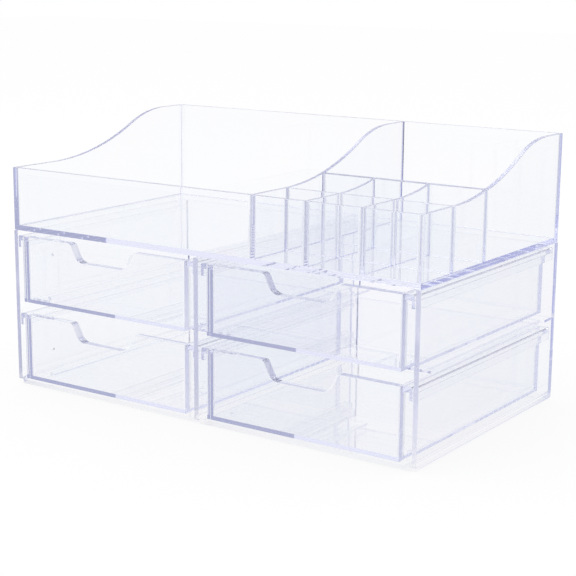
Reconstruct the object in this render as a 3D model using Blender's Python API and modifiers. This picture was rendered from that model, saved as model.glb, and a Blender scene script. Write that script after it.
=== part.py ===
"""Clear makeup organizer: an open tray with lipstick cells on a cabinet of four drawers."""
import math

import bmesh
import bpy
from mathutils import Matrix

# Every length is in metres. X runs from left to right, Y from front to back, Z up.
# The organizer stands on z = 0 and is centred on X and Y, with its drawer fronts at the lowest Y.
# Outlines and blocks count Y from the front edges of the cabinet's sides, and each object is
# then moved forward, so that the whole is centred with its drawers closed.

# Cabinet
cabinet_width = 0.240
cabinet_depth = 0.1375
cabinet_side = 0.0024
cabinet_back = 0.0020
partition_thickness = 0.0026
partition_proud = 0.0018
base_thickness = 0.0023
base_corner_radius = 0.0018
ledge_thickness = 0.0020
ledge_width = 0.0120
runner_height = 0.0007
runner_width = 0.0022
runner_inset = 0.0045
runner_setback = 0.0060

# Drawers
drawer_height = 0.0348
drawer_proud = 0.0020
drawer_back_gap = 0.0006
lower_drawer_headroom = 0.0031
upper_drawer_headroom = 0.0023
drawer_wall = 0.0014
drawer_floor = 0.0016
drawer_back_wall = 0.0018
drawer_front_thickness = 0.0041
drawer_front_recess = 0.0003
flange_side_gap = 0.0005
flange_reach = 0.00625
flange_thickness = 0.0014
flange_drop = 0.0062
notch_top_width = 0.0400
notch_floor_width = 0.0305
notch_depth = 0.0092
notch_floor_radius = 0.0032
notch_lip_radius = 0.0020

# Tray
tray_front_height = 0.0322
tray_rear_height = 0.0543
tray_wall = 0.0022
tray_floor = 0.0024
tray_corner_radius = 0.0014
tray_divider = 0.0020
cell_wall = 0.0018
front_cross_wall_place = 0.0285
rear_cross_wall_place = 0.0592
curve_start = 0.0280
curve_end = 0.1200

# Fit and finish
panel_gap = 0.0003
edge_softening = 0.0003

# Shares, counts and angles
divider_share = 0.6265
lower_arc_share = 0.69
cell_columns = 3
arc_steps = 12
corner_steps = 5
soft_steps = 2
corner_angle = math.radians(40)
flat_angle = math.radians(0.5)
merge_distance = 0.000001

# Clear plastic with a faint lavender tint
clear_tint = (0.86, 0.87, 0.96, 1.0)
clear_index = 1.58
clear_roughness = 0.04

# Derived places
front_face = (drawer_proud - cabinet_depth) / 2
right_face = cabinet_width / 2
left_face = -right_face
drawer_lift = runner_height + panel_gap
ledge_underside = base_thickness + drawer_lift + drawer_height + lower_drawer_headroom
ledge_top = ledge_underside + ledge_thickness
cabinet_height = ledge_top + drawer_lift + drawer_height + upper_drawer_headroom
bay_left_edge = left_face + cabinet_side
bay_right_edge = -partition_thickness / 2
bay_width = bay_right_edge - bay_left_edge
bay_centre = (bay_left_edge + bay_right_edge) / 2
bay_back = cabinet_depth - cabinet_back - panel_gap
drawer_length = bay_back + drawer_proud - drawer_back_gap
drawer_half_width = bay_width / 2 - flange_side_gap
tub_half_width = drawer_half_width - flange_reach + drawer_wall
tray_bottom = cabinet_height + panel_gap
tray_floor_top = tray_bottom + tray_floor
tray_low = tray_bottom + tray_front_height
tray_high = tray_bottom + tray_rear_height
divider_centre = left_face + cabinet_width * divider_share


def empty_scene():
    """Clear the start scene and add one collection for the part and one for its cutters."""
    for thing in list(bpy.data.objects):
        bpy.data.objects.remove(thing, do_unlink=True)
    parts = bpy.data.collections.new("makeup_organizer")
    cutters = bpy.data.collections.new("cutters")
    for group in (parts, cutters):
        bpy.context.scene.collection.children.link(group)
    return parts, cutters


def clear_plastic(name):
    """Material of one piece."""
    material = bpy.data.materials.new(name + "_plastic")
    material.use_nodes = True
    surface = material.node_tree.nodes["Principled BSDF"]
    surface.inputs["Base Color"].default_value = clear_tint
    surface.inputs["Roughness"].default_value = clear_roughness
    surface.inputs["IOR"].default_value = clear_index
    surface.inputs["Transmission Weight"].default_value = 1.0
    return material


def finished(name, mesh, group):
    """Object with outward faces, flat areas joined into single faces, and its own material."""
    work = bmesh.new()
    work.from_mesh(mesh)
    bmesh.ops.remove_doubles(work, verts=work.verts, dist=merge_distance)
    bmesh.ops.dissolve_degenerate(work, edges=work.edges, dist=merge_distance)
    bmesh.ops.dissolve_limit(work, angle_limit=flat_angle, verts=work.verts, edges=work.edges)
    bmesh.ops.recalc_face_normals(work, faces=work.faces)
    work.to_mesh(mesh)
    work.free()
    piece = bpy.data.objects.new(name, mesh)
    piece.location.y = front_face
    group.objects.link(piece)
    if group == part_group:
        mesh.materials.append(clear_plastic(name))
    else:
        piece.hide_render = True
        piece.display_type = "WIRE"
    return piece


def block(name, group, low, high):
    """Rectangular block between two corners."""
    size = [top - bottom for bottom, top in zip(low, high)]
    centre = [(top + bottom) / 2 for bottom, top in zip(low, high)]
    work = bmesh.new()
    bmesh.ops.create_cube(work, size=1, matrix=Matrix.LocRotScale(centre, None, size))
    mesh = bpy.data.meshes.new(name)
    work.to_mesh(mesh)
    work.free()
    return finished(name, mesh, group)


def extruded(name, group, outline, along, start, end):
    """Solid with a flat outline, given across and up, carried along X or Y from start to end."""
    curve = bpy.data.curves.new(name + "_outline", "CURVE")
    curve.dimensions = "2D"
    curve.fill_mode = "BOTH"
    curve.extrude = (end - start) / 2
    spline = curve.splines.new("POLY")
    spline.points.add(len(outline) - 1)
    for point, (across, up) in zip(spline.points, outline):
        point.co = (across, up, 0, 1)
    spline.use_cyclic_u = True
    source = bpy.data.objects.new(name + "_outline", curve)
    mesh = bpy.data.meshes.new_from_object(source)
    mesh.name = name
    bpy.data.objects.remove(source)
    bpy.data.curves.remove(curve)
    middle = (start + end) / 2
    if along == "X":
        turn = Matrix(((0, 0, 1, middle), (1, 0, 0, 0), (0, 1, 0, 0), (0, 0, 0, 1)))
    else:
        turn = Matrix(((1, 0, 0, 0), (0, 0, -1, middle), (0, 1, 0, 0), (0, 0, 0, 1)))
    mesh.transform(turn)
    return finished(name, mesh, group)


def rounded(corners):
    """Outline through corners given as across, up and radius, with an arc at each radius."""
    points = []
    for index, (across, up, radius) in enumerate(corners):
        if radius == 0:
            points.append((across, up))
            continue
        before = corners[index - 1]
        after = corners[(index + 1) % len(corners)]
        angle_in = math.atan2(before[1] - up, before[0] - across)
        angle_out = math.atan2(after[1] - up, after[0] - across)
        turn = (angle_out - angle_in + math.pi) % (2 * math.pi) - math.pi
        reach = radius / math.sin(abs(turn) / 2)
        middle = angle_in + turn / 2
        centre = (across + reach * math.cos(middle), up + reach * math.sin(middle))
        side = math.copysign(1, turn)
        first = angle_in - side * math.pi / 2
        sweep = turn - side * math.pi
        for step in range(corner_steps + 1):
            angle = first + sweep * step / corner_steps
            points.append((centre[0] + radius * math.cos(angle), centre[1] + radius * math.sin(angle)))
    return points


def soften(piece, width=edge_softening):
    """Small round on every corner edge."""
    bevel = piece.modifiers.new("soft_edges", "BEVEL")
    bevel.width = width
    bevel.segments = soft_steps
    bevel.limit_method = "ANGLE"
    bevel.angle_limit = corner_angle
    return piece


def cut(piece, cutter):
    """Take the cutter's volume out of the piece."""
    step = piece.modifiers.new("cut", "BOOLEAN")
    step.operation = "DIFFERENCE"
    step.solver = "EXACT"
    step.object = cutter


def crest():
    """Points of the S curve along the top of the tray walls, as pairs of Y and Z."""
    run = curve_end - curve_start
    rise = tray_high - tray_low
    angle = 2 * math.atan2(rise, run)
    lower_radius = run * lower_arc_share / math.sin(angle)
    upper_radius = run * (1 - lower_arc_share) / math.sin(angle)
    points = []
    for step in range(arc_steps + 1):
        turn = angle * step / arc_steps
        points.append((curve_start + lower_radius * math.sin(turn),
                       tray_low + lower_radius * (1 - math.cos(turn))))
    for step in range(1, arc_steps + 1):
        turn = angle * (1 - step / arc_steps)
        points.append((curve_end - upper_radius * math.sin(turn),
                       tray_high - upper_radius * (1 - math.cos(turn))))
    return points


def crest_height(place):
    """Height of the S curve at one Y."""
    points = crest()
    if place <= points[0][0]:
        return tray_low
    for (y_before, z_before), (y_after, z_after) in zip(points, points[1:]):
        if place <= y_after:
            return z_before + (z_after - z_before) * (place - y_before) / (y_after - y_before)
    return tray_high


def wall_outline(front, back, bottom):
    """Outline of a wall whose top follows the S curve between two places in Y."""
    outline = [(front, bottom), (back, bottom), (back, crest_height(back))]
    inner = [point for point in crest() if front < point[0] < back]
    outline.extend(reversed(inner))
    outline.append((front, crest_height(front)))
    return outline


def add_runners(piece, middles, bottom, top, back):
    """Low runners under a drawer, as part of the plate or ledge that carries it."""
    for middle in middles:
        rib = block(piece.name + "_runner", cutter_group,
                    (middle - runner_width / 2, runner_setback, (bottom + top) / 2),
                    (middle + runner_width / 2, back, top + runner_height))
        step = piece.modifiers.new("runner", "BOOLEAN")
        step.operation = "UNION"
        step.solver = "EXACT"
        step.object = rib


def build_cabinet():
    """Base, sides, back and centre partition, and the four ledges that carry the upper drawers."""
    outline = rounded([(left_face, 0, base_corner_radius), (right_face, 0, base_corner_radius),
                       (right_face, base_thickness, 0), (left_face, base_thickness, 0)])
    base = extruded("cabinet_base", part_group, outline, "Y", 0, cabinet_depth)
    runner_back = bay_back - runner_setback
    runner_offset = tub_half_width - runner_inset
    middles = [centre + side * runner_offset for centre in (bay_centre, -bay_centre) for side in (-1, 1)]
    add_runners(base, middles, 0, base_thickness, runner_back)
    panel_bottom = base_thickness + panel_gap
    soften(block("cabinet_side_left", part_group,
                 (left_face, 0, panel_bottom), (bay_left_edge, cabinet_depth, cabinet_height)))
    soften(block("cabinet_side_right", part_group,
                 (-bay_left_edge, 0, panel_bottom), (right_face, cabinet_depth, cabinet_height)))
    soften(block("cabinet_back", part_group,
                 (bay_left_edge + panel_gap, cabinet_depth - cabinet_back, panel_bottom),
                 (-bay_left_edge - panel_gap, cabinet_depth, cabinet_height)))
    soften(block("cabinet_partition", part_group,
                 (bay_right_edge, -partition_proud, panel_bottom),
                 (-bay_right_edge, bay_back, cabinet_height)))
    for name, centre, side, wall in (("ledge_left_side", bay_centre, -1, bay_left_edge),
                                     ("ledge_left_partition", bay_centre, 1, bay_right_edge),
                                     ("ledge_right_partition", -bay_centre, -1, -bay_right_edge),
                                     ("ledge_right_side", -bay_centre, 1, -bay_left_edge)):
        ends = sorted((wall - side * panel_gap, wall - side * ledge_width))
        ledge = block(name, part_group, (ends[0], 0, ledge_underside), (ends[1], bay_back, ledge_top))
        add_runners(ledge, (centre + side * runner_offset,), ledge_underside, ledge_top, runner_back)


def tub_outline():
    """Section through a drawer: a solid core with a hooked flange along each top edge."""
    hook_outer = drawer_half_width
    hook_inner = drawer_half_width - flange_thickness
    right = [(tub_half_width, 0), (tub_half_width, drawer_height - flange_thickness),
             (hook_inner, drawer_height - flange_thickness), (hook_inner, drawer_height - flange_drop),
             (hook_outer, drawer_height - flange_drop), (hook_outer, drawer_height)]
    left = [(-across, up) for across, up in reversed(right)]
    return right + left


def front_outline(half_width, bottom):
    """Outline of a drawer front with its notch."""
    dip = drawer_height - notch_depth
    top_half = notch_top_width / 2
    floor_half = notch_floor_width / 2
    return rounded([
        (-half_width, bottom, 0), (half_width, bottom, 0), (half_width, drawer_height, 0),
        (top_half, drawer_height, notch_lip_radius), (floor_half, dip, notch_floor_radius),
        (-floor_half, dip, notch_floor_radius), (-top_half, drawer_height, notch_lip_radius),
        (-half_width, drawer_height, 0)])


def build_drawer(name, centre, bottom):
    """Tub with its hooked flanges, and the front panel set between its side walls."""
    inside = tub_half_width - drawer_wall
    tub = extruded(name + "_tub", part_group, tub_outline(), "Y", 0, drawer_length)
    hollow = block(name + "_hollow", cutter_group,
                   (-inside, -drawer_wall, drawer_floor),
                   (inside, drawer_length - drawer_back_wall, drawer_height + drawer_floor))
    cut(tub, hollow)
    outline = front_outline(inside - panel_gap, drawer_floor + panel_gap)
    front = extruded(name + "_front", part_group, outline, "Y", drawer_front_recess,
                     drawer_front_recess + drawer_front_thickness)
    soften(front)
    for piece in (tub, hollow, front):
        piece.location = (centre, front_face - drawer_proud, bottom)


def build_tray():
    """Tray shell, its divider and the walls of the lipstick cells."""
    shell = extruded("tray_shell", part_group, wall_outline(0, cabinet_depth, tray_bottom),
                     "X", left_face, right_face)
    soften(shell, tray_corner_radius)
    hollow = block("tray_hollow", cutter_group,
                   (left_face + tray_wall, tray_wall, tray_floor_top),
                   (right_face - tray_wall, cabinet_depth - tray_wall, tray_high + tray_floor))
    cut(shell, hollow)
    front = tray_wall + panel_gap
    back = cabinet_depth - tray_wall - panel_gap
    foot = tray_floor_top + panel_gap
    half = tray_divider / 2
    soften(extruded("tray_divider", part_group, wall_outline(front, back, foot), "X",
                    divider_centre - half, divider_centre + half))
    cells_left = divider_centre + half + panel_gap
    cells_right = right_face - tray_wall - panel_gap
    rows = (("front", front_cross_wall_place, front),
            ("rear", rear_cross_wall_place, front_cross_wall_place + cell_wall / 2 + panel_gap))
    for row, place, row_front in rows:
        wall_front = place - cell_wall / 2
        wall_back = place + cell_wall / 2
        outline = wall_outline(wall_front, wall_back, foot)
        soften(extruded("cross_wall_" + row, part_group, outline, "X", cells_left, cells_right))
        for column in range(1, cell_columns):
            middle = cells_left + (cells_right - cells_left) * column / cell_columns
            outline = wall_outline(row_front, wall_front - panel_gap, foot)
            soften(extruded("separator_" + row + "_" + str(column), part_group, outline, "X",
                            middle - cell_wall / 2, middle + cell_wall / 2))


part_group, cutter_group = empty_scene()
build_cabinet()
for level, floor_below in (("lower", base_thickness), ("upper", ledge_top)):
    drawer_bottom = floor_below + drawer_lift
    build_drawer("drawer_" + level + "_left", bay_centre, drawer_bottom)
    build_drawer("drawer_" + level + "_right", -bay_centre, drawer_bottom)
build_tray()
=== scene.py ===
"""Clear makeup organizer: a cabinet of four drawers under an open tray, moulded in polystyrene."""
import math

import bmesh
import bpy
from mathutils import Matrix, Vector


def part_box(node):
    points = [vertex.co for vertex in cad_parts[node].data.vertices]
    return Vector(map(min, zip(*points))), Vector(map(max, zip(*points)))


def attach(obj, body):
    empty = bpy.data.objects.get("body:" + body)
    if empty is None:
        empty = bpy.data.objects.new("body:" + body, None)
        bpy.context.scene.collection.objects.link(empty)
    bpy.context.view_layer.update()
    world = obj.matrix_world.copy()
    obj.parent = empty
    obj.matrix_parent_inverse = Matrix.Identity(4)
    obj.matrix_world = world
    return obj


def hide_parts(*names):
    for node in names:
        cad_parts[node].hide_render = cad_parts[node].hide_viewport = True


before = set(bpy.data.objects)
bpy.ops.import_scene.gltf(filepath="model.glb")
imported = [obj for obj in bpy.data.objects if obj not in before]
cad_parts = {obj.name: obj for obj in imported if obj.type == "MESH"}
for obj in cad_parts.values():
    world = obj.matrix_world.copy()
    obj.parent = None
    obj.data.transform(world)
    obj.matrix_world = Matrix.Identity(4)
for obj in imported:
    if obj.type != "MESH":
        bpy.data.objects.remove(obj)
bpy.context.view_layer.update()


# Cabinet: one clear polystyrene moulding with two tall bays open to the front, a ledge on each
# wall for the upper drawers, low runners under each drawer and a closed back. Its edges leave
# the mould with a small round, and the bays have the larger inside radius of the mould's cores.
bay_radius = 0.0025
cabinet_foot_radius = 0.0018
cabinet_edge = 0.00035
cabinet_front_edge = 0.00085
edge_steps = 4
arc_steps = 9
runner_sink = 0.0008
front_overshoot = 0.004
merge_distance = 0.000002
flat_angle = math.radians(0.4)
corner_angle = math.radians(35)
flat_weight = 100
facing_front = 0.1

melt_index = 1.59
cool_melt = (0.986, 0.995, 1.0, 1.0)
warm_melt = (0.994, 0.992, 0.999, 1.0)
absorbed_tint = (0.20, 0.235, 0.90, 1.0)
absorbed_density = 1.5
lamp_tint = (0.90, 0.905, 0.96, 1.0)
drift_share = 0.6
drift_detail = 2.0
drift_twist = 1.2
drift_range = (0.42, 0.62)
wave_detail = 1.5
wave_grain = 0.35
wave_step = 0.00002
smudge_scale = 35.0
smudge_detail = 4.0
smudge_range = (0.52, 0.75)
smudge_roughness = 0.02
edge_roughness = 0.30
cabinet_wave_size = 22.0
wave_height = 1.0


def group_tree(name, sockets):
    """Shader node group with its sockets given as (name, direction, kind, default)."""
    tree = bpy.data.node_groups.new(name, "ShaderNodeTree")
    for label, direction, kind, default in sockets:
        socket = tree.interface.new_socket(label, in_out=direction, socket_type=kind)
        if default is not None:
            socket.default_value = default
    return tree


def flow_ripple():
    """Height of the faint waves that the melt leaves as it fills the mould."""
    tree = group_tree("mould_flow", [
        ("Wave Size", "INPUT", "NodeSocketFloat", cabinet_wave_size),
        ("Wave Height", "INPUT", "NodeSocketFloat", wave_height),
        ("Height", "OUTPUT", "NodeSocketFloat", None)])
    nodes, links = tree.nodes, tree.links
    sizes = nodes.new("NodeGroupInput")
    result = nodes.new("NodeGroupOutput")
    place = nodes.new("ShaderNodeTexCoord")
    waves = nodes.new("ShaderNodeTexNoise")
    waves.inputs["Detail"].default_value = wave_detail
    waves.inputs["Roughness"].default_value = wave_grain
    links.new(place.outputs["Object"], waves.inputs["Vector"])
    links.new(sizes.outputs["Wave Size"], waves.inputs["Scale"])
    height = nodes.new("ShaderNodeMath")
    height.operation = "MULTIPLY"
    links.new(waves.outputs["Fac"], height.inputs[0])
    links.new(sizes.outputs["Wave Height"], height.inputs[1])
    links.new(height.outputs[0], result.inputs["Height"])
    return tree


def melt_colour():
    """Colour of the plastic, with the faint cool and warm drifts that stress leaves in it."""
    tree = group_tree("melt_colour", [
        ("Drift Size", "INPUT", "NodeSocketFloat", cabinet_wave_size * drift_share),
        ("Colour", "OUTPUT", "NodeSocketColor", None)])
    nodes, links = tree.nodes, tree.links
    sizes = nodes.new("NodeGroupInput")
    result = nodes.new("NodeGroupOutput")
    place = nodes.new("ShaderNodeTexCoord")
    drift = nodes.new("ShaderNodeTexNoise")
    drift.inputs["Detail"].default_value = drift_detail
    drift.inputs["Distortion"].default_value = drift_twist
    links.new(place.outputs["Object"], drift.inputs["Vector"])
    links.new(sizes.outputs["Drift Size"], drift.inputs["Scale"])
    spread = nodes.new("ShaderNodeMapRange")
    spread.inputs["From Min"].default_value, spread.inputs["From Max"].default_value = drift_range
    links.new(drift.outputs["Fac"], spread.inputs["Value"])
    tint = nodes.new("ShaderNodeMix")
    tint.data_type = "RGBA"
    tint.inputs["A"].default_value = cool_melt
    tint.inputs["B"].default_value = warm_melt
    links.new(spread.outputs["Result"], tint.inputs["Factor"])
    links.new(tint.outputs["Result"], result.inputs["Colour"])
    return tree


def handling_wear():
    """Roughness from wiping: mostly polished, with soft smudges, and satin on the rounded edges."""
    tree = group_tree("handling_wear", [
        ("Polish", "INPUT", "NodeSocketFloat", 0.0),
        ("Smudge", "INPUT", "NodeSocketFloat", smudge_roughness),
        ("Edge Satin", "INPUT", "NodeSocketFloat", edge_roughness),
        ("Roughness", "OUTPUT", "NodeSocketFloat", None)])
    nodes, links = tree.nodes, tree.links
    sizes = nodes.new("NodeGroupInput")
    result = nodes.new("NodeGroupOutput")
    place = nodes.new("ShaderNodeTexCoord")
    smudges = nodes.new("ShaderNodeTexNoise")
    smudges.inputs["Scale"].default_value = smudge_scale
    smudges.inputs["Detail"].default_value = smudge_detail
    links.new(place.outputs["Object"], smudges.inputs["Vector"])
    spread = nodes.new("ShaderNodeMapRange")
    spread.inputs["From Min"].default_value, spread.inputs["From Max"].default_value = smudge_range
    links.new(smudges.outputs["Fac"], spread.inputs["Value"])
    links.new(sizes.outputs["Polish"], spread.inputs["To Min"])
    links.new(sizes.outputs["Smudge"], spread.inputs["To Max"])
    on_edge = nodes.new("ShaderNodeAttribute")
    on_edge.attribute_name = "edge_round"
    satin = nodes.new("ShaderNodeMath")
    satin.operation = "MULTIPLY_ADD"
    links.new(on_edge.outputs["Fac"], satin.inputs[0])
    links.new(sizes.outputs["Edge Satin"], satin.inputs[1])
    links.new(spread.outputs["Result"], satin.inputs[2])
    links.new(satin.outputs[0], result.inputs["Roughness"])
    return tree


mould_flow = flow_ripple()
melt = melt_colour()
wear = handling_wear()


def clear_polystyrene(name, wave_size):
    """Clear polystyrene with a violet cast in its thickness. Lamps reach what stands behind it."""
    material = bpy.data.materials.new(name)
    material.use_nodes = True
    nodes, links = material.node_tree.nodes, material.node_tree.links
    surface = nodes["Principled BSDF"]
    dye = nodes.new("ShaderNodeGroup")
    dye.node_tree = melt
    dye.inputs["Drift Size"].default_value = wave_size * drift_share
    links.new(dye.outputs["Colour"], surface.inputs["Base Color"])
    surface.inputs["IOR"].default_value = melt_index
    surface.inputs["Transmission Weight"].default_value = 1.0
    flow = nodes.new("ShaderNodeGroup")
    flow.node_tree = mould_flow
    flow.inputs["Wave Size"].default_value = wave_size
    flow.inputs["Wave Height"].default_value = wave_height
    bump = nodes.new("ShaderNodeBump")
    bump.inputs["Strength"].default_value = 1.0
    bump.inputs["Distance"].default_value = wave_step
    links.new(flow.outputs["Height"], bump.inputs["Height"])
    links.new(bump.outputs["Normal"], surface.inputs["Normal"])
    rub = nodes.new("ShaderNodeGroup")
    rub.node_tree = wear
    rub.inputs["Smudge"].default_value = smudge_roughness
    links.new(rub.outputs["Roughness"], surface.inputs["Roughness"])
    lamp_way = nodes.new("ShaderNodeBsdfTransparent")
    lamp_way.inputs["Color"].default_value = lamp_tint
    light_path = nodes.new("ShaderNodeLightPath")
    mix = nodes.new("ShaderNodeMixShader")
    links.new(light_path.outputs["Is Shadow Ray"], mix.inputs["Fac"])
    links.new(surface.outputs["BSDF"], mix.inputs[1])
    links.new(lamp_way.outputs["BSDF"], mix.inputs[2])
    output = nodes["Material Output"]
    links.new(mix.outputs["Shader"], output.inputs["Surface"])
    body = nodes.new("ShaderNodeVolumeAbsorption")
    body.inputs["Color"].default_value = absorbed_tint
    body.inputs["Density"].default_value = absorbed_density
    links.new(body.outputs["Volume"], output.inputs["Volume"])
    return material


def scene_object(name, mesh):
    """Object of a mesh at the origin."""
    thing = bpy.data.objects.new(name, mesh)
    bpy.context.scene.collection.objects.link(thing)
    return thing


def cleaned(mesh):
    """Doubles merged, flat areas joined and faces turned outwards."""
    work = bmesh.new()
    work.from_mesh(mesh)
    bmesh.ops.remove_doubles(work, verts=work.verts, dist=merge_distance)
    bmesh.ops.dissolve_limit(work, angle_limit=flat_angle, verts=work.verts, edges=work.edges)
    bmesh.ops.recalc_face_normals(work, faces=work.faces)
    work.to_mesh(mesh)
    work.free()
    return mesh


def baked(thing):
    """Plain mesh of an object with its modifiers applied, and the object taken away."""
    scene_graph = bpy.context.evaluated_depsgraph_get()
    mesh = bpy.data.meshes.new_from_object(thing.evaluated_get(scene_graph))
    bpy.data.objects.remove(thing)
    return mesh


def arc_corners(corners):
    """Outline through corners given as (across, up, radius), with an arc at each radius."""
    points = []
    for index, (across, up, radius) in enumerate(corners):
        if radius == 0:
            points.append((across, up))
            continue
        before = corners[index - 1]
        after = corners[(index + 1) % len(corners)]
        angle_in = math.atan2(before[1] - up, before[0] - across)
        angle_out = math.atan2(after[1] - up, after[0] - across)
        turn = (angle_out - angle_in + math.pi) % (2 * math.pi) - math.pi
        reach = radius / math.sin(abs(turn) / 2)
        middle = angle_in + turn / 2
        centre = (across + reach * math.cos(middle), up + reach * math.sin(middle))
        side = math.copysign(1, turn)
        first = angle_in - side * math.pi / 2
        sweep = turn - side * math.pi
        for step in range(arc_steps + 1):
            angle = first + sweep * step / arc_steps
            points.append((centre[0] + radius * math.cos(angle), centre[1] + radius * math.sin(angle)))
    return points


def rounded_box(low, high, radius):
    """Outline of a rectangle with equal corner radii."""
    return arc_corners([(low[0], low[1], radius), (high[0], low[1], radius),
                        (high[0], high[1], radius), (low[0], high[1], radius)])


def extruded(name, outline, axis, start, end):
    """Solid of a flat outline carried along an axis.

    Outlines carried along Y are (x, z), those along X are (y, z) and those along Z are (x, y)."""
    work = bmesh.new()
    turned = {"X": lambda across, up, along: (along, across, up),
              "Y": lambda across, up, along: (across, along, up),
              "Z": lambda across, up, along: (across, up, along)}[axis]
    near = [work.verts.new(turned(across, up, start)) for across, up in outline]
    far = [work.verts.new(turned(across, up, end)) for across, up in outline]
    work.faces.new(near)
    work.faces.new(far)
    for index in range(len(outline)):
        after = (index + 1) % len(outline)
        work.faces.new((near[index], near[after], far[after], far[index]))
    bmesh.ops.recalc_face_normals(work, faces=work.faces)
    mesh = bpy.data.meshes.new(name)
    work.to_mesh(mesh)
    work.free()
    return scene_object(name, mesh)


def combined(thing, others, operation):
    """Adds or cuts the other solids, one after another, and takes them away."""
    for other in others:
        step = thing.modifiers.new(operation.lower(), "BOOLEAN")
        step.operation = operation
        step.solver = "EXACT"
        step.object = other
    name = thing.name
    mesh = baked(thing)
    for other in others:
        bpy.data.objects.remove(other)
    return scene_object(name, cleaned(mesh))


def evenly_spaced():
    """Geometry nodes that repeat a solid along a line: Count pieces, each one Step further on."""
    tree = bpy.data.node_groups.new("evenly_spaced", "GeometryNodeTree")
    for label, kind in (("Geometry", "NodeSocketGeometry"), ("Count", "NodeSocketInt"),
                        ("Step", "NodeSocketVector"), ("Plastic", "NodeSocketMaterial")):
        tree.interface.new_socket(label, in_out="INPUT", socket_type=kind)
    tree.interface.new_socket("Geometry", in_out="OUTPUT", socket_type="NodeSocketGeometry")
    nodes, links = tree.nodes, tree.links
    given = nodes.new("NodeGroupInput")
    result = nodes.new("NodeGroupOutput")
    places = nodes.new("GeometryNodeMeshLine")
    places.mode = "OFFSET"
    links.new(given.outputs["Count"], places.inputs["Count"])
    links.new(given.outputs["Step"], places.inputs["Offset"])
    copies = nodes.new("GeometryNodeInstanceOnPoints")
    links.new(places.outputs["Mesh"], copies.inputs["Points"])
    links.new(given.outputs["Geometry"], copies.inputs["Instance"])
    solid = nodes.new("GeometryNodeRealizeInstances")
    links.new(copies.outputs["Instances"], solid.inputs["Geometry"])
    plastic = nodes.new("GeometryNodeSetMaterial")
    links.new(solid.outputs["Geometry"], plastic.inputs["Geometry"])
    links.new(given.outputs["Plastic"], plastic.inputs["Material"])
    links.new(plastic.outputs["Geometry"], result.inputs["Geometry"])
    return tree


spacing = evenly_spaced()
spacing_inputs = {item.name: item.identifier for item in spacing.interface.items_tree
                  if item.in_out == "INPUT"}


def repeated(thing, count, step, material):
    """The solid and its copies, each one step further on, as one object."""
    line = thing.modifiers.new("evenly_spaced", "NODES")
    line.node_group = spacing
    line[spacing_inputs["Count"]] = count
    line[spacing_inputs["Step"]] = step
    line[spacing_inputs["Plastic"]] = material
    name = thing.name
    return scene_object(name, baked(thing))


def moulded(thing, name, edge_radius, satin, material):
    """Finished moulding: each sharp edge has its own radius, flats stay flat, and it gets its plastic.

    Each face takes its share of satin from a rule that is told the face's centre, its normal
    and whether it is part of a rounded edge."""
    thing.data.materials.clear()
    thing.data.polygons.foreach_set("material_index", [0] * len(thing.data.polygons))
    for slot in range(2):
        thing.data.materials.append(material)
    work = bmesh.new()
    work.from_mesh(thing.data)
    weight = work.edges.layers.float.new("bevel_weight_edge")
    sharp = {edge: edge_radius((edge.verts[0].co, edge.verts[1].co)) for edge in work.edges
             if edge.calc_face_angle() > corner_angle}
    widest = max(sharp.values())
    for edge, radius in sharp.items():
        edge[weight] = radius / widest
    for face in work.faces:
        face.smooth = True
    work.to_mesh(thing.data)
    work.free()
    bevel = thing.modifiers.new("edge_round", "BEVEL")
    bevel.width = widest
    bevel.segments = edge_steps
    bevel.limit_method = "WEIGHT"
    bevel.material = 1
    flats = thing.modifiers.new("flat_faces", "WEIGHTED_NORMAL")
    flats.mode = "FACE_AREA"
    flats.weight = flat_weight
    mesh = baked(thing)
    mesh.name = name
    edge_round = mesh.attributes.new("edge_round", "FLOAT", "FACE")
    for face in mesh.polygons:
        is_round = face.material_index == 1
        edge_round.data[face.index].value = satin(face.center, face.normal, is_round)
        face.material_index = 0
    mesh.materials.clear()
    mesh.materials.append(material)
    return scene_object(name, mesh)


base_low, base_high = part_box("cabinet_base")
side_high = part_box("cabinet_side_left")[1]
back_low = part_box("cabinet_back")[0]
partition_low, partition_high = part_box("cabinet_partition")
ledge_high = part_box("ledge_right_side")[1]
tub_low, tub_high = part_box("drawer_lower_left_tub")
hook_reach = 0.00485
base_thickness = 0.0023
base_plan_radius = 0.0050
runner_width = 0.0022
runner_height = 0.0013
runner_inset = 0.0045
ledge_width = 0.0120
ledge_thickness = 0.0012
ledge_setback = 0.0120
runner_setback = 0.0140
base_top = base_low.z + base_thickness
ledge_top = ledge_high.z - base_high.z + base_top

cabinet_plastic = clear_polystyrene("cabinet_polystyrene", cabinet_wave_size)
shell_outline = arc_corners([
    (base_low.x, 0, cabinet_foot_radius), (base_high.x, 0, cabinet_foot_radius),
    (base_high.x, side_high.z, 0), (base_low.x, side_high.z, 0)])
housing = extruded("cabinet_housing", shell_outline, "Y", base_low.y, base_high.y)
sky = side_high.z + front_overshoot
bays = []
for near, far in ((side_high.x, partition_low.x), (partition_high.x, -side_high.x)):
    outline = arc_corners([(near, base_top, bay_radius), (far, base_top, bay_radius),
                           (far, sky, 0), (near, sky, 0)])
    bays.append(extruded("bay", outline, "Y", base_low.y - front_overshoot, back_low.y))
corners = []
for side in (-1, 1):
    edge = side * base_high.x
    inside = edge - side * 2 * base_plan_radius
    outside = edge + side * front_overshoot
    behind = base_low.y + 2 * base_plan_radius
    before = base_low.y - front_overshoot
    round_off = arc_corners([(inside, base_low.y, 0), (edge, base_low.y, base_plan_radius),
                             (edge, behind, 0)])
    round_off += [(outside, behind), (outside, before), (inside, before)]
    corners.append(extruded("round_off", round_off, "Z", base_low.z - front_overshoot, base_top))
housing = combined(housing, bays + corners, "DIFFERENCE")
ledges = []
ledge_underside = ledge_top - ledge_thickness
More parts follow.
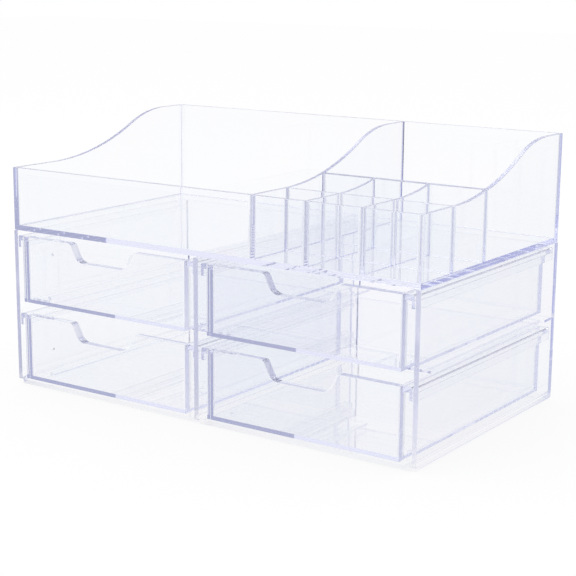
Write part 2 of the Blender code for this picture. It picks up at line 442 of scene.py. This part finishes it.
for wall, side in ((side_high.x, 1), (partition_low.x, -1),
                   (partition_high.x, 1), (-side_high.x, -1)):
    root = wall - side * runner_sink
    tip = wall + side * ledge_width
    outline = [(root, ledge_underside), (tip, ledge_underside), (tip, ledge_top), (root, ledge_top)]
    ledges.append(extruded("ledge", outline, "Y", base_low.y + ledge_setback,
                           back_low.y + runner_sink))
nose = rounded_box((partition_low.x, base_top), (partition_high.x, partition_high.z), 0)
ledges.append(extruded("partition_nose", nose, "Y", partition_low.y, base_low.y + runner_sink))
housing = combined(housing, ledges, "UNION")
middle = tub_low.x + hook_reach + runner_inset
outline = rounded_box((middle - runner_width / 2, base_top - runner_sink),
                      (middle + runner_width / 2, base_top + runner_height), 0)
runners = extruded("runner", outline, "Y", base_low.y + runner_setback, back_low.y - runner_setback)
runners = repeated(runners, 2, (tub_high.x + tub_low.x - 2 * middle, 0, 0), cabinet_plastic)
runners = repeated(runners, 2, (-tub_high.x - tub_low.x, 0, 0), cabinet_plastic)
runners = repeated(runners, 2, (0, 0, ledge_top - base_top), cabinet_plastic)
housing = combined(housing, [runners], "UNION")


def cabinet_radius(ends):
    """Free front edges are well rounded, but for the left wall's, and the others barely."""
    in_front = max(end.y for end in ends) < base_low.y + merge_distance
    at_left = max(end.x for end in ends) < side_high.x + merge_distance
    return cabinet_front_edge if in_front and not at_left else cabinet_edge


def cabinet_satin(centre, normal, is_round):
    """All front edges are satin except the left wall's, which came clean off the mould."""
    in_front = centre.y < base_low.y + cabinet_front_edge and normal.y < -facing_front
    return int(in_front and centre.x > side_high.x + merge_distance)


housing = moulded(housing, "cabinet_housing_moulding", cabinet_radius, cabinet_satin,
                  cabinet_plastic)
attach(housing, "cabinet")
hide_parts("cabinet_base", "cabinet_side_left", "cabinet_side_right", "cabinet_back",
            "cabinet_partition", "ledge_left_side", "ledge_left_partition", "ledge_right_partition",
            "ledge_right_side")


# Drawers: each a thin open box of the same plastic with a hooked flange along both sides and a
# thicker front whose top edge dips to a fingertip notch. The mould's pins leave small round
# marks on two of the fronts.
drawer_edge = 0.00035
underside_lift = 0.0007
drawer_floor = 0.0011
drawer_wall = 0.0014
drawer_back_wall = 0.0026
front_thickness = 0.0044
front_lap = 0.0002
hollow_radius = 0.0014
foot_edge = 0.00015
hook_thickness = 0.0015
hook_bar = 0.0026
hook_drop = 0.0062
hook_radius = 0.0009
hook_inner_radius = 0.00045
notch_top_width = 0.0400
notch_floor_width = 0.0305
notch_depth = 0.0092
notch_floor_radius = 0.0055
notch_lip_radius = 0.0022
pin_radius = 0.0007
pin_depth = 0.00025
pin_steps = 20
pin_satin = 2.6
pin_places = {"drawer_upper_left": [(0.0237, 0.0273)], "drawer_lower_left": [(0.0226, 0.0187)]}
facing_side = 0.3
drawer_wave_size = 30.0


def drawer_section(low, high):
    """Section of a drawer: floor and walls as one core, with an open hook along each top edge."""
    left = low.x + hook_reach + front_lap
    right = high.x - hook_reach - front_lap
    under = high.z - hook_drop
    shoulder = high.z - hook_bar
    return arc_corners([
        (left, low.z, 0), (right, low.z, 0), (right, shoulder, hook_inner_radius),
        (high.x - hook_thickness, shoulder, hook_inner_radius), (high.x - hook_thickness, under, 0),
        (high.x, under, 0), (high.x, high.z, hook_radius), (low.x, high.z, hook_radius),
        (low.x, under, 0), (low.x + hook_thickness, under, 0),
        (low.x + hook_thickness, shoulder, hook_inner_radius), (left, shoulder, hook_inner_radius)])


def hook_trim(inner, outer, low, high):
    """Air beside the front that ends a hook at the cabinet's front plane."""
    outline = rounded_box((inner, low.z - front_overshoot), (outer, high.z + front_overshoot), 0)
    return extruded("hook_trim", outline, "Y", low.y - front_overshoot, base_low.y)


def notch_outline(centre, top):
    """Outline of the fingertip notch and the air above the front."""
    top_half = notch_top_width / 2
    floor_half = notch_floor_width / 2
    sky = top + front_overshoot
    wide = notch_top_width
    return [(centre + across, up) for across, up in arc_corners([
        (-wide, sky, 0), (-wide, top, 0), (-top_half, top, notch_lip_radius),
        (-floor_half, top - notch_depth, notch_floor_radius),
        (floor_half, top - notch_depth, notch_floor_radius),
        (top_half, top, notch_lip_radius), (wide, top, 0), (wide, sky, 0)])]


def build_drawer(node, material):
    """Drawer moulding of one body, in place of its tub and front."""
    low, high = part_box(node + "_tub")
    pins = [(low.x + across, low.z + up) for across, up in pin_places.get(node, [])]
    low.z += underside_lift
    centre = (low.x + high.x) / 2
    panel_back = low.y + front_thickness
    left = low.x + hook_reach
    right = high.x - hook_reach
    box = extruded(node, drawer_section(low, high), "Y", low.y, high.y)
    front = extruded("front", rounded_box((left, low.z), (right, high.z), 0), "Y",
                     low.y, panel_back)
    box = combined(box, [front], "UNION")
    hollow = extruded("hollow", rounded_box((left + drawer_wall, panel_back),
                      (right - drawer_wall, high.y - drawer_back_wall), hollow_radius), "Z",
                      low.z + drawer_floor, high.z + front_overshoot)
    trims = [hook_trim(left, low.x - front_overshoot, low, high),
             hook_trim(right, high.x + front_overshoot, low, high)]
    dip = extruded("notch", notch_outline(centre, high.z), "Y", low.y - front_overshoot,
                   panel_back + front_overshoot)
    turns = [2 * math.pi * step / pin_steps for step in range(pin_steps)]
    pin_end = [(pin_radius * math.cos(turn), pin_radius * math.sin(turn)) for turn in turns]
    dents = [extruded("pin_mark", [(across + x, up + z) for x, z in pin_end], "Y",
                      panel_back - pin_depth, panel_back + front_overshoot) for across, up in pins]
    box = combined(box, [hollow, dip] + trims + dents, "DIFFERENCE")

    def drawer_radius(ends):
        """The edges of the underside are nearly sharp, and a pin's mark has none."""
        for across, up in pins:
            if all(math.hypot(end.x - across, end.z - up) < 2 * pin_radius for end in ends):
                return 0
        return foot_edge if max(end.z for end in ends) < low.z + merge_distance else drawer_edge

    def drawer_satin(spot, normal, is_round):
        """The top rims, the front's right end, the notch's left end and pin marks are satin."""
        for across, up in pins:
            if spot.y < panel_back and math.hypot(spot.x - across, spot.z - up) < pin_radius:
                return pin_satin
        beside = abs(spot.x - centre) < notch_top_width and spot.z > high.z - notch_depth
        at_end = spot.x > right - merge_distance
        in_front = spot.y < panel_back and normal.x > facing_side and (beside or at_end)
        return int(in_front or (is_round and spot.z > high.z - notch_depth))

    piece = moulded(box, node + "_moulding", drawer_radius, drawer_satin, material)
    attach(piece, node)
    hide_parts(node + "_tub", node + "_front")


drawer_plastic = clear_polystyrene("drawer_polystyrene", drawer_wave_size)
for level in ("upper", "lower"):
    for side in ("left", "right"):
        build_drawer("drawer_" + level + "_" + side, drawer_plastic)


# Tray: one moulding with a long bin, a rear bin and six lipstick cells. Its walls rise towards
# the back in an S curve, and every inside corner has the small radius of the mould's core.
tray_edge = 0.00040
tray_rim = 0.00070
tray_floor_round = 0.00090
tray_outer_radius = 0.0008
tray_inner_radius = 0.0013
tray_wall = 0.0022
tray_floor = 0.0024
cell_wall = 0.0018
front_row = 0.0285
rear_row = 0.0592
curve_start = 0.0280
curve_end = 0.1200
low_height = 0.0322
lower_arc_share = 0.69
curve_steps = 28
cell_columns = 3
facing_up = 0.3
tray_wave_size = 18.0

shell_low, shell_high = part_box("tray_shell")
divider_low, divider_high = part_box("tray_divider")


def s_curve():
    """Points (y, z) of the S curve along the top of the side walls: two tangent arcs."""
    low = shell_low.z + low_height
    rise = shell_high.z - low
    run = curve_end - curve_start
    angle = 2 * math.atan2(rise, run)
    lower = run * lower_arc_share / math.sin(angle)
    upper = run * (1 - lower_arc_share) / math.sin(angle)
    start = shell_low.y + curve_start
    end = shell_low.y + curve_end
    points = []
    for step in range(curve_steps + 1):
        turn = angle * step / curve_steps
        points.append((start + lower * math.sin(turn), low + lower * (1 - math.cos(turn))))
    for step in range(1, curve_steps + 1):
        turn = angle * (1 - step / curve_steps)
        points.append((end - upper * math.sin(turn), shell_high.z - upper * (1 - math.cos(turn))))
    return points


tray = extruded("tray", rounded_box((shell_low.x, shell_low.y), (shell_high.x, shell_high.y),
                                    tray_outer_radius), "Z", shell_low.z, shell_high.z)
curve = s_curve()
before = shell_low.y - front_overshoot
sky = shell_high.z + front_overshoot
above = [(before, curve[0][1])] + curve + [(curve[-1][0], sky), (before, sky)]
above_walls = extruded("above_walls", above, "X", shell_low.x - front_overshoot,
                       shell_high.x + front_overshoot)
left = shell_low.x + tray_wall
right = shell_high.x - tray_wall
front = shell_low.y + tray_wall
back = shell_high.y - tray_wall
rows = (front, shell_low.y + front_row, shell_low.y + rear_row, back)
compartments = [((left, front), (divider_low.x, back)),
                ((divider_high.x, rows[2] + cell_wall / 2), (right, back))]
cell_pitch = (right - divider_high.x + cell_wall) / cell_columns
cell_depths = ((rows[0], rows[1] - cell_wall / 2),
               (rows[1] + cell_wall / 2, rows[2] - cell_wall / 2))
cell_right = divider_high.x + cell_pitch - cell_wall
compartments += [((divider_high.x, cell_front), (cell_right, cell_back))
                 for cell_front, cell_back in cell_depths]
hollows = [extruded("compartment", rounded_box(low, high, tray_inner_radius), "Z",
                    shell_low.z + tray_floor, shell_high.z + 2 * front_overshoot)
           for low, high in compartments]
tray_plastic = clear_polystyrene("tray_polystyrene", tray_wave_size)
hollows[2:] = [repeated(cell, cell_columns, (cell_pitch, 0, 0), tray_plastic)
               for cell in hollows[2:]]
tray = combined(tray, hollows, "DIFFERENCE")
tray = combined(tray, [above_walls], "DIFFERENCE")


def tray_radius(ends):
    """The rims that a hand meets and the inside of the floor are rounded more than the foot."""
    if min(end.z for end in ends) > shell_low.z + low_height - merge_distance:
        return tray_rim
    at_foot = max(end.z for end in ends) < shell_low.z + merge_distance
    return tray_edge if at_foot else tray_floor_round


def tray_satin(centre, normal, is_round):
    """The tops of all walls are satin."""
    return int(normal.z > facing_up and centre.z > shell_low.z + low_height - merge_distance)


tray = moulded(tray, "tray_moulding", tray_radius, tray_satin, tray_plastic)
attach(tray, "tray")
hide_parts("tray_shell", "tray_divider", "cross_wall_front", "cross_wall_rear",
            "separator_front_1", "separator_front_2", "separator_rear_1", "separator_rear_2")


# Studio: a white floor that keeps a faint shadow, a white background, and soft light from
# above. The sides are dimmer for light that has bounced inside the plastic, so its edges and
# rims pick up the dim sides while all that is seen straight through stays white.
floor_size = 8.0
floor_cells = 4
floor_white = (0.9, 0.9, 0.9, 1.0)
floor_glow_share = 0.90
one_bounce = 0.5

floor_mesh = bpy.data.meshes.new("studio_floor")
work = bmesh.new()
bmesh.ops.create_grid(work, x_segments=floor_cells, y_segments=floor_cells, size=floor_size / 2)
work.to_mesh(floor_mesh)
work.free()
floor = scene_object("studio_floor", floor_mesh)
paper = bpy.data.materials.new("studio_paper")
paper.use_nodes = True
nodes, links = paper.node_tree.nodes, paper.node_tree.links
nodes.clear()
matt = nodes.new("ShaderNodeBsdfDiffuse")
matt.inputs["Color"].default_value = floor_white
glow = nodes.new("ShaderNodeEmission")
light_path = nodes.new("ShaderNodeLightPath")
seen = nodes.new("ShaderNodeMath")
seen.operation = "ADD"
links.new(light_path.outputs["Is Camera Ray"], seen.inputs[0])
links.new(light_path.outputs["Is Glossy Ray"], seen.inputs[1])
seen_all = nodes.new("ShaderNodeMath")
seen_all.operation = "ADD"
seen_all.use_clamp = True
links.new(seen.outputs[0], seen_all.inputs[0])
links.new(light_path.outputs["Is Transmission Ray"], seen_all.inputs[1])
share = nodes.new("ShaderNodeMath")
share.operation = "MULTIPLY"
share.inputs[1].default_value = floor_glow_share
links.new(seen_all.outputs[0], share.inputs[0])
lit = nodes.new("ShaderNodeMixShader")
links.new(share.outputs[0], lit.inputs["Fac"])
links.new(matt.outputs[0], lit.inputs[1])
links.new(glow.outputs[0], lit.inputs[2])
bounced = nodes.new("ShaderNodeMath")
bounced.operation = "GREATER_THAN"
bounced.inputs[1].default_value = one_bounce
links.new(light_path.outputs["Glossy Depth"], bounced.inputs[0])
open_way = nodes.new("ShaderNodeBsdfTransparent")
whole = nodes.new("ShaderNodeMixShader")
links.new(bounced.outputs[0], whole.inputs["Fac"])
links.new(lit.outputs[0], whole.inputs[1])
links.new(open_way.outputs[0], whole.inputs[2])
output = nodes.new("ShaderNodeOutputMaterial")
links.new(whole.outputs[0], output.inputs["Surface"])
floor_mesh.materials.append(paper)

dim_side = (0.44, 0.455, 0.59, 1.0)
near_side = (0.90, 0.91, 0.95, 1.0)
front_left_side = (0.56, 0.58, 0.75, 1.0)
flag_side = (0.20, 0.21, 0.28, 1.0)
white = (1.0, 1.0, 1.0, 1.0)
horizon_range = (0.11, 0.18)
horizon_share = 0.68
bounce_range = (-0.2, 3.8)
# Each side: its direction, its tint, and how squarely it is faced where it starts and is whole.
sides = (((0.62, 0.785, 0.0), dim_side, 0.5, 0.8),
         ((0.57, -0.82, 0.0), near_side, 0.4, 0.9),
         ((-0.57, -0.82, 0.0), front_left_side, 0.6, 0.9),
         ((-1.0, 0.0, 0.0), flag_side, 0.93, 0.99))
world = bpy.data.worlds.new("studio")
bpy.context.scene.world = world
world.use_nodes = True
nodes, links = world.node_tree.nodes, world.node_tree.links
nodes.clear()
place = nodes.new("ShaderNodeTexCoord")
split = nodes.new("ShaderNodeSeparateXYZ")
links.new(place.outputs["Generated"], split.inputs["Vector"])
height = nodes.new("ShaderNodeMath")
height.operation = "ABSOLUTE"
links.new(split.outputs["Z"], height.inputs[0])
lower = nodes.new("ShaderNodeMapRange")
lower.interpolation_type = "SMOOTHSTEP"
lower.inputs["From Min"].default_value, lower.inputs["From Max"].default_value = horizon_range
lower.inputs["To Min"].default_value = horizon_share
links.new(height.outputs[0], lower.inputs["Value"])
colour = None
for direction, tint, start, end in sides:
    facing = nodes.new("ShaderNodeVectorMath")
    facing.operation = "DOT_PRODUCT"
    facing.inputs[1].default_value = direction
    links.new(place.outputs["Generated"], facing.inputs[0])
    fade = nodes.new("ShaderNodeMapRange")
    fade.interpolation_type = "SMOOTHSTEP"
    fade.inputs["From Min"].default_value = start
    fade.inputs["From Max"].default_value = end
    links.new(facing.outputs["Value"], fade.inputs["Value"])
    blend = nodes.new("ShaderNodeMix")
    blend.data_type = "RGBA"
    blend.inputs["A"].default_value = white
    blend.inputs["B"].default_value = tint
    if colour is None:
        links.new(lower.outputs["Result"], fade.inputs["To Max"])
    else:
        links.new(colour, blend.inputs["A"])
    links.new(fade.outputs["Result"], blend.inputs["Factor"])
    colour = blend.outputs["Result"]
light_path = nodes.new("ShaderNodeLightPath")
bounced = nodes.new("ShaderNodeMapRange")
bounced.inputs["From Min"].default_value, bounced.inputs["From Max"].default_value = bounce_range
links.new(light_path.outputs["Glossy Depth"], bounced.inputs["Value"])
at_all = nodes.new("ShaderNodeMath")
at_all.operation = "MINIMUM"
at_all.inputs[1].default_value = 1.0
links.new(light_path.outputs["Glossy Depth"], at_all.inputs[0])
dimming = nodes.new("ShaderNodeMath")
dimming.operation = "MULTIPLY"
links.new(bounced.outputs[0], dimming.inputs[0])
links.new(at_all.outputs[0], dimming.inputs[1])
surround = nodes.new("ShaderNodeMix")
surround.data_type = "RGBA"
surround.inputs["A"].default_value = white
links.new(dimming.outputs[0], surround.inputs["Factor"])
links.new(colour, surround.inputs["B"])
sky = nodes.new("ShaderNodeBackground")
links.new(surround.outputs["Result"], sky.inputs["Color"])
output = nodes.new("ShaderNodeOutputWorld")
links.new(sky.outputs[0], output.inputs["Surface"])

lamp_width = 1.2
lamp_depth = 0.9
lamp_power = 6.0
lamp_place = Vector((-0.5, -0.3, 1.3))
lamp_target = Vector((0, 0, 0.05))
lamp_data = bpy.data.lights.new("softbox", "AREA")
lamp_data.shape = "RECTANGLE"
lamp_data.size = lamp_width
lamp_data.size_y = lamp_depth
lamp_data.energy = lamp_power
lamp = bpy.data.objects.new("softbox", lamp_data)
lamp.location = lamp_place
lamp.rotation_euler = (lamp_target - lamp_place).to_track_quat("-Z", "Y").to_euler()
bpy.context.scene.collection.objects.link(lamp)


# Camera: the photograph's place, turned a little about its own axis as the photograph is.
# Light may bounce many times inside the clear walls before it leaves them.
camera_place = Vector((0.4141, -0.5926, 0.2151))
camera_target = Vector((0.05148, -0.06775, 0.07344))
camera_roll = math.radians(0.4317)
camera_sensor = 36.0
camera_lens = 90.6956
nearest_seen = 0.01
farthest_seen = 50.0
most_bounces = 160

camera_data = bpy.data.cameras.new("camera")
camera_data.sensor_width = camera_sensor
camera_data.lens = camera_lens
camera_data.clip_start = nearest_seen
camera_data.clip_end = farthest_seen
camera = bpy.data.objects.new("camera", camera_data)
facing = (camera_target - camera_place).to_track_quat("-Z", "Y").to_matrix().to_4x4()
turned = Matrix.Rotation(camera_roll, 4, "Z")
camera.matrix_world = Matrix.Translation(camera_place) @ facing @ turned
bpy.context.scene.collection.objects.link(camera)
bpy.context.scene.camera = camera

scene = bpy.context.scene
scene.cycles.max_bounces = most_bounces
scene.cycles.glossy_bounces = most_bounces
scene.cycles.transmission_bounces = most_bounces
scene.cycles.transparent_max_bounces = most_bounces
scene.cycles.caustics_reflective = False
scene.cycles.caustics_refractive = False
scene.view_settings.view_transform = "Standard"
